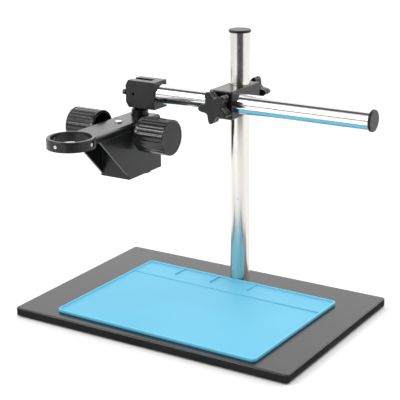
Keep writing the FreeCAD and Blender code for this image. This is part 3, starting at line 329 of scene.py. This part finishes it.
FINISHES = {
    "plate_black": powder_coat("plate_powder_coat", 0.016, 0.22),
    "sheet_black": sheet_rubber("base_sheet_rubber", 0.02),
    "mat_blue": silicone("mat_silicone", (0.104, 0.49, 0.71), (0.126, 0.53, 0.75)),
    "pillar_steel": drawn_tube(
        "pillar_stainless", (0.79, 0.765, 0.72), gloss=0.12, centre=pillar_centre, along="z",
        streak=0.20, haze=0.16, depth=0.000003,
    ),
    "arm_chrome": drawn_tube(
        "arm_chrome_plate", (0.93, 0.93, 0.94), gloss=0.13, centre=arm_centre, along="x",
        streak=0.06, haze=0.03, depth=0.0000002,
    ),
    "cap_plastic": moulded("cap_plastic", 0.010, 0.36),
    "arm_cap_plastic": turned_disc("arm_cap_turned_plastic", 0.005, 0.36, "x", arm_centre),
    "bush_brass": machined("bush_darkened_bronze", (0.055, 0.045, 0.035), 0.34),
    "clamp_black": anodised("clamp_anodised", 0.008, 0.20, 0.5, "z"),
    "clevis_black": anodised("clevis_anodised", 0.009, 0.24, 0.5, "x"),
    "star_plastic": moulded("star_knob_plastic", 0.007, 0.24, 620.0, 0.00005),
    "knob_rubber": grip_rubber("focus_knob_rubber", 0.008, 0.17),
    "knob_cap_plastic": turned_disc("focus_knob_disc", 0.005, 0.30, "x", knob_centre),
    "zinc_steel": machined("zinc_plated_steel", (0.66, 0.66, 0.64), 0.26),
    "black_steel": machined("blackened_steel", (0.060, 0.058, 0.060), 0.32),
    "bright_steel": machined("nickel_plated_steel", (0.84, 0.82, 0.78), 0.14, 0.2),
    "pad_brass": machined("lock_pad_brass", (0.74, 0.54, 0.25), 0.30),
    "post_black": anodised("post_blackened_steel", 0.012, 0.20, 0.3, "z"),
    "body_alu": machined("slide_body_aluminium", (0.50, 0.51, 0.52), 0.34, 0.12),
    "ring_black": anodised("ring_arm_anodised", 0.010, 0.18, 0.35, "y"),
    # The housing's edges get a stronger painted edge highlight.
    "housing_black": anodised("housing_anodised", 0.007, 0.30, 0.8, "z"),
    "rack_brass": machined("rack_brass", (0.74, 0.55, 0.26), 0.24),
    "rail_steel": machined("ground_steel", (0.62, 0.62, 0.63), 0.18),
    "plug_alu": machined("foot_plug_aluminium", (0.70, 0.70, 0.70), 0.26),
}

for part in frame["record"]["subparts"]:
    held = frame["nodes"][part["node"]]
    for place in held.material_slots:
        place.material = FINISHES[part["material_slot"]]


# ------------------------------------------------------------ silicone mat
MAT_LENGTH = 0.280
MAT_DEPTH = 0.200
MAT_CORNER = 0.006
MAT_FLOOR = 0.0022
MAT_RIM = 0.0043
MAT_TURN = math.radians(-1.1)
RIDGE_FROM_BACK = 0.041
RIDGE_HEIGHT = 0.0031
STUB_LENGTH = 0.022
STUB_PLACES = (-0.0835, -0.030, 0.0255)
STUB_HEIGHT = MAT_RIM - 0.00005
BAR_WIDTH = 0.0017
BAR_END_INSET = 0.0015
RIM_WIDTH = 0.0022

# distance in from the mat's edge, and height: a rounded rim falling to the floor
RIM_PROFILE = (
    (0.0004, 0.0),
    (0.0, 0.0004),
    (0.0, 0.0035),
    (0.00025, 0.0040),
    (0.0007, MAT_RIM),
    (0.0015, MAT_RIM),
    (0.0020, 0.0040),
    (0.0022, 0.0034),
    (0.0024, 0.0026),
    (0.0031, MAT_FLOOR),
)


def rounded_outline(inset, corner_steps=8):
    half_l = MAT_LENGTH / 2 - inset
    half_d = MAT_DEPTH / 2 - inset
    r = MAT_CORNER - inset
    points = []
    for corner, (sx, sy) in enumerate(((1, 1), (-1, 1), (-1, -1), (1, -1))):
        for step in range(corner_steps + 1):
            a = math.pi / 2 * (corner + step / corner_steps)
            x = sx * (half_l - r) + r * math.cos(a)
            y = sy * (half_d - r) + r * math.sin(a)
            points.append((x, y))
    return points


def add_rim(mesh):
    rings = []
    for inset, height in RIM_PROFILE:
        rings.append([mesh.verts.new((x, y, height)) for x, y in rounded_outline(inset)])
    count = len(rings[0])
    for low, high in zip(rings, rings[1:]):
        for i in range(count):
            j = (i + 1) % count
            mesh.faces.new((low[i], low[j], high[j], high[i]))
    mesh.faces.new(rings[-1])
    mesh.faces.new(list(reversed(rings[0])))


def add_bar(mesh, start, end, height):
    """A divider with a rounded top, standing on the mat's floor and sunk a little into it."""
    start = Vector(start)
    end = Vector(end)
    along = (end - start).normalized()
    side = Vector((-along.y, along.x))
    half = BAR_WIDTH / 2
    section = (
        (-1.5, MAT_FLOOR - 0.0004),
        (-1.15, MAT_FLOOR + 0.0001),
        (-1.0, MAT_FLOOR + 0.0004),
        (-0.85, height - 0.0006),
        (-0.6, height - 0.0002),
        (-0.25, height),
        (0.25, height),
        (0.6, height - 0.0002),
        (0.85, height - 0.0006),
        (1.0, MAT_FLOOR + 0.0004),
        (1.15, MAT_FLOOR + 0.0001),
        (1.5, MAT_FLOOR - 0.0004),
    )
    loops = []
    for spot in (start, end):
        loop = []
        for across, z in section:
            point = spot + side * (across * half)
            loop.append(mesh.verts.new((point.x, point.y, z)))
        loops.append(loop)
    for i in range(len(section) - 1):
        mesh.faces.new((loops[0][i + 1], loops[0][i], loops[1][i], loops[1][i + 1]))
    mesh.faces.new(loops[0])
    mesh.faces.new(list(reversed(loops[1])))


def make_mat():
    mesh = bmesh.new()
    add_rim(mesh)
    inner_l = MAT_LENGTH / 2 - BAR_END_INSET
    back = MAT_DEPTH / 2
    ridge_y = back - RIDGE_FROM_BACK
    add_bar(mesh, (-inner_l, ridge_y), (inner_l, ridge_y), RIDGE_HEIGHT)
    for x in STUB_PLACES:
        add_bar(mesh, (x, back - BAR_END_INSET), (x, back - RIM_WIDTH - STUB_LENGTH), STUB_HEIGHT)
    centre = middle("silicone_mat")
    for vert in mesh.verts:
        x, y, z = vert.co
        vert.co = (
            centre.x + x * math.cos(MAT_TURN) - y * math.sin(MAT_TURN),
            centre.y + x * math.sin(MAT_TURN) + y * math.cos(MAT_TURN),
            mat_bottom + z,
        )
    bmesh.ops.recalc_face_normals(mesh, faces=mesh.faces)
    for face in mesh.faces:
        face.smooth = len(face.verts) == 4
    data = bpy.data.meshes.new("work_mat")
    mesh.to_mesh(data)
    mesh.free()
    mat = bpy.data.objects.new("work_mat", data)
    bpy.context.scene.collection.objects.link(mat)
    data.materials.append(FINISHES["mat_blue"])
    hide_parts("silicone_mat")
    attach(mat, "stand_base")


make_mat()


# ------------------------------------------------------------ floor and light
FLOOR_SIZE = 30.0


def flat_panel(name, width, depth, centre, facing, finish):
    """A rectangle of the studio, facing a direction."""
    data = bpy.data.meshes.new(name)
    w, d = width / 2, depth / 2
    data.from_pydata([(-w, -d, 0), (w, -d, 0), (w, d, 0), (-w, d, 0)], [], [(0, 1, 2, 3)])
    panel = bpy.data.objects.new(name, data)
    panel.location = centre
    panel.rotation_mode = "QUATERNION"
    panel.rotation_quaternion = Vector(facing).to_track_quat("Z", "Y")
    bpy.context.scene.collection.objects.link(panel)
    data.materials.append(finish)
    return panel


def floor_paint():
    f = Finish("studio_floor_paint", IOR=1.4)
    soft = f.noise(f.place(), 0.8, 2.0)
    return f.surface(Base_Color=f.mix(soft, grey(0.985), grey(0.995)), Roughness=0.85 + soft * 0.1)


def black_card():
    f = Finish("studio_black_card", IOR=1.4)
    weave = f.noise(f.place(), 300.0, 2.0)
    return f.surface(Base_Color=f.mix(weave, grey(0.03), grey(0.06)), Roughness=0.9 + weave * 0.05)


def reflected_card(name, width, height, centre, facing):
    """A dark card that only mirrors and glossy surfaces see."""
    card = flat_panel(name, width, height, centre, facing, card_black)
    card.visible_camera = False
    card.visible_diffuse = False
    card.visible_shadow = False
    return card


def area_light(name, place, target, width, height, power):
    data = bpy.data.lights.new(name, "AREA")
    data.shape = "RECTANGLE"
    data.size = width
    data.size_y = height
    data.energy = power
    lamp = bpy.data.objects.new(name, data)
    lamp.location = place
    lamp.rotation_mode = "QUATERNION"
    lamp.rotation_quaternion = (Vector(target) - Vector(place)).to_track_quat("-Z", "Y")
    bpy.context.scene.collection.objects.link(lamp)
    return lamp


def studio_sky():
    """Pale all round: brighter behind and to the left, a little dimmer high up."""
    world = bpy.data.worlds.new("studio")
    bpy.context.scene.world = world
    world.use_nodes = True
    sky = Nodes(world.node_tree)
    direction = sky.node("ShaderNodeTexCoord", out="Generated")
    across, depth, height = [
        sky.node("ShaderNodeSeparateXYZ", None, {0: direction}, out=axis) for axis in range(3)
    ]
    level = (1.12 + depth * 0.36 - across * 0.10) * (1 - height.ramp(0.4, 0.8) * 0.14)
    colour = sky.node("ShaderNodeCombineColor", None, {"Red": level, "Green": level, "Blue": level})
    light = sky.node("ShaderNodeBackground", None, {"Color": colour, "Strength": 1.0})
    end = world.node_tree.nodes.new("ShaderNodeOutputWorld")
    world.node_tree.links.new(light.socket, end.inputs["Surface"])


studio_sky()
card_black = black_card()
flat_panel("studio_floor", FLOOR_SIZE, FLOOR_SIZE, (0.0, 0.0, 0.0), (0, 0, 1), floor_paint())
reflected_card("pillar_flag", 0.72, 0.42, (0.29, -0.33, 0.30), (-0.50, 0.866, 0.0))
reflected_card("arm_front_flag", 1.3, 0.11, (-0.5, -0.9, 0.285), (0.0, 1.0, 0.0))
reflected_card("arm_top_flag", 0.9, 0.70, (-0.72, -0.27, 1.6), (0.0, 0.0, -1.0))
# Painted shade: dark cards on the floor along the plate's front and right edges, seen only in reflections,
# stand in for the shaded floor at the plate's foot.
reflected_card("front_edge_shade_card", 0.44, 0.045, (0.0, -0.155, 0.0004), (0.0, 0.0, 1.0))
reflected_card("right_edge_shade_card", 0.045, 0.30, (0.215, 0.0, 0.0004), (0.0, 0.0, 1.0))
area_light("key_softbox", (-0.94, -1.12, 1.42), (0.0, 0.0, 0.10), 0.60, 0.22, 5.0)
area_light("back_strip", (0.75, 1.35, 0.80), (0.19, 0.0, 0.01), 0.6, 0.16, 2.0)
area_light("front_strip", (-0.62, -0.95, 0.64), (-0.1, 0.0, 0.21), 0.8, 0.16, 3.0)
area_light("side_softbox", (1.5, 0.1, 1.0), (0.0, 0.0, 0.2), 0.35, 0.9, 1.2)
area_light("back_softbox", (-0.4, 1.3, 1.4), (0.0, 0.0, 0.2), 1.2, 0.3, 4.0)


# ------------------------------------------------------------ camera
CAMERA_PLACE = Vector((0.7516, -1.2015, 0.5926))
CAMERA_TARGET = Vector((-0.03963, 0.06206, 0.122))
CAMERA_ROLL = math.radians(-0.606)
CAMERA_LENS = 110.6
SENSOR_WIDTH = 36.0
FAR_CLIP = 60.0

camera_data = bpy.data.cameras.new("view")
camera_data.sensor_width = SENSOR_WIDTH
camera_data.lens = CAMERA_LENS
camera_data.clip_end = FAR_CLIP
camera = bpy.data.objects.new("view", camera_data)
camera.location = CAMERA_PLACE
camera.rotation_mode = "QUATERNION"
looking = (CAMERA_TARGET - CAMERA_PLACE).to_track_quat("-Z", "Y")
camera.rotation_quaternion = looking @ Quaternion((0, 0, 1), CAMERA_ROLL)
bpy.context.scene.collection.objects.link(camera)
bpy.context.scene.camera = camera
bpy.context.scene.view_settings.view_transform = "Standard"
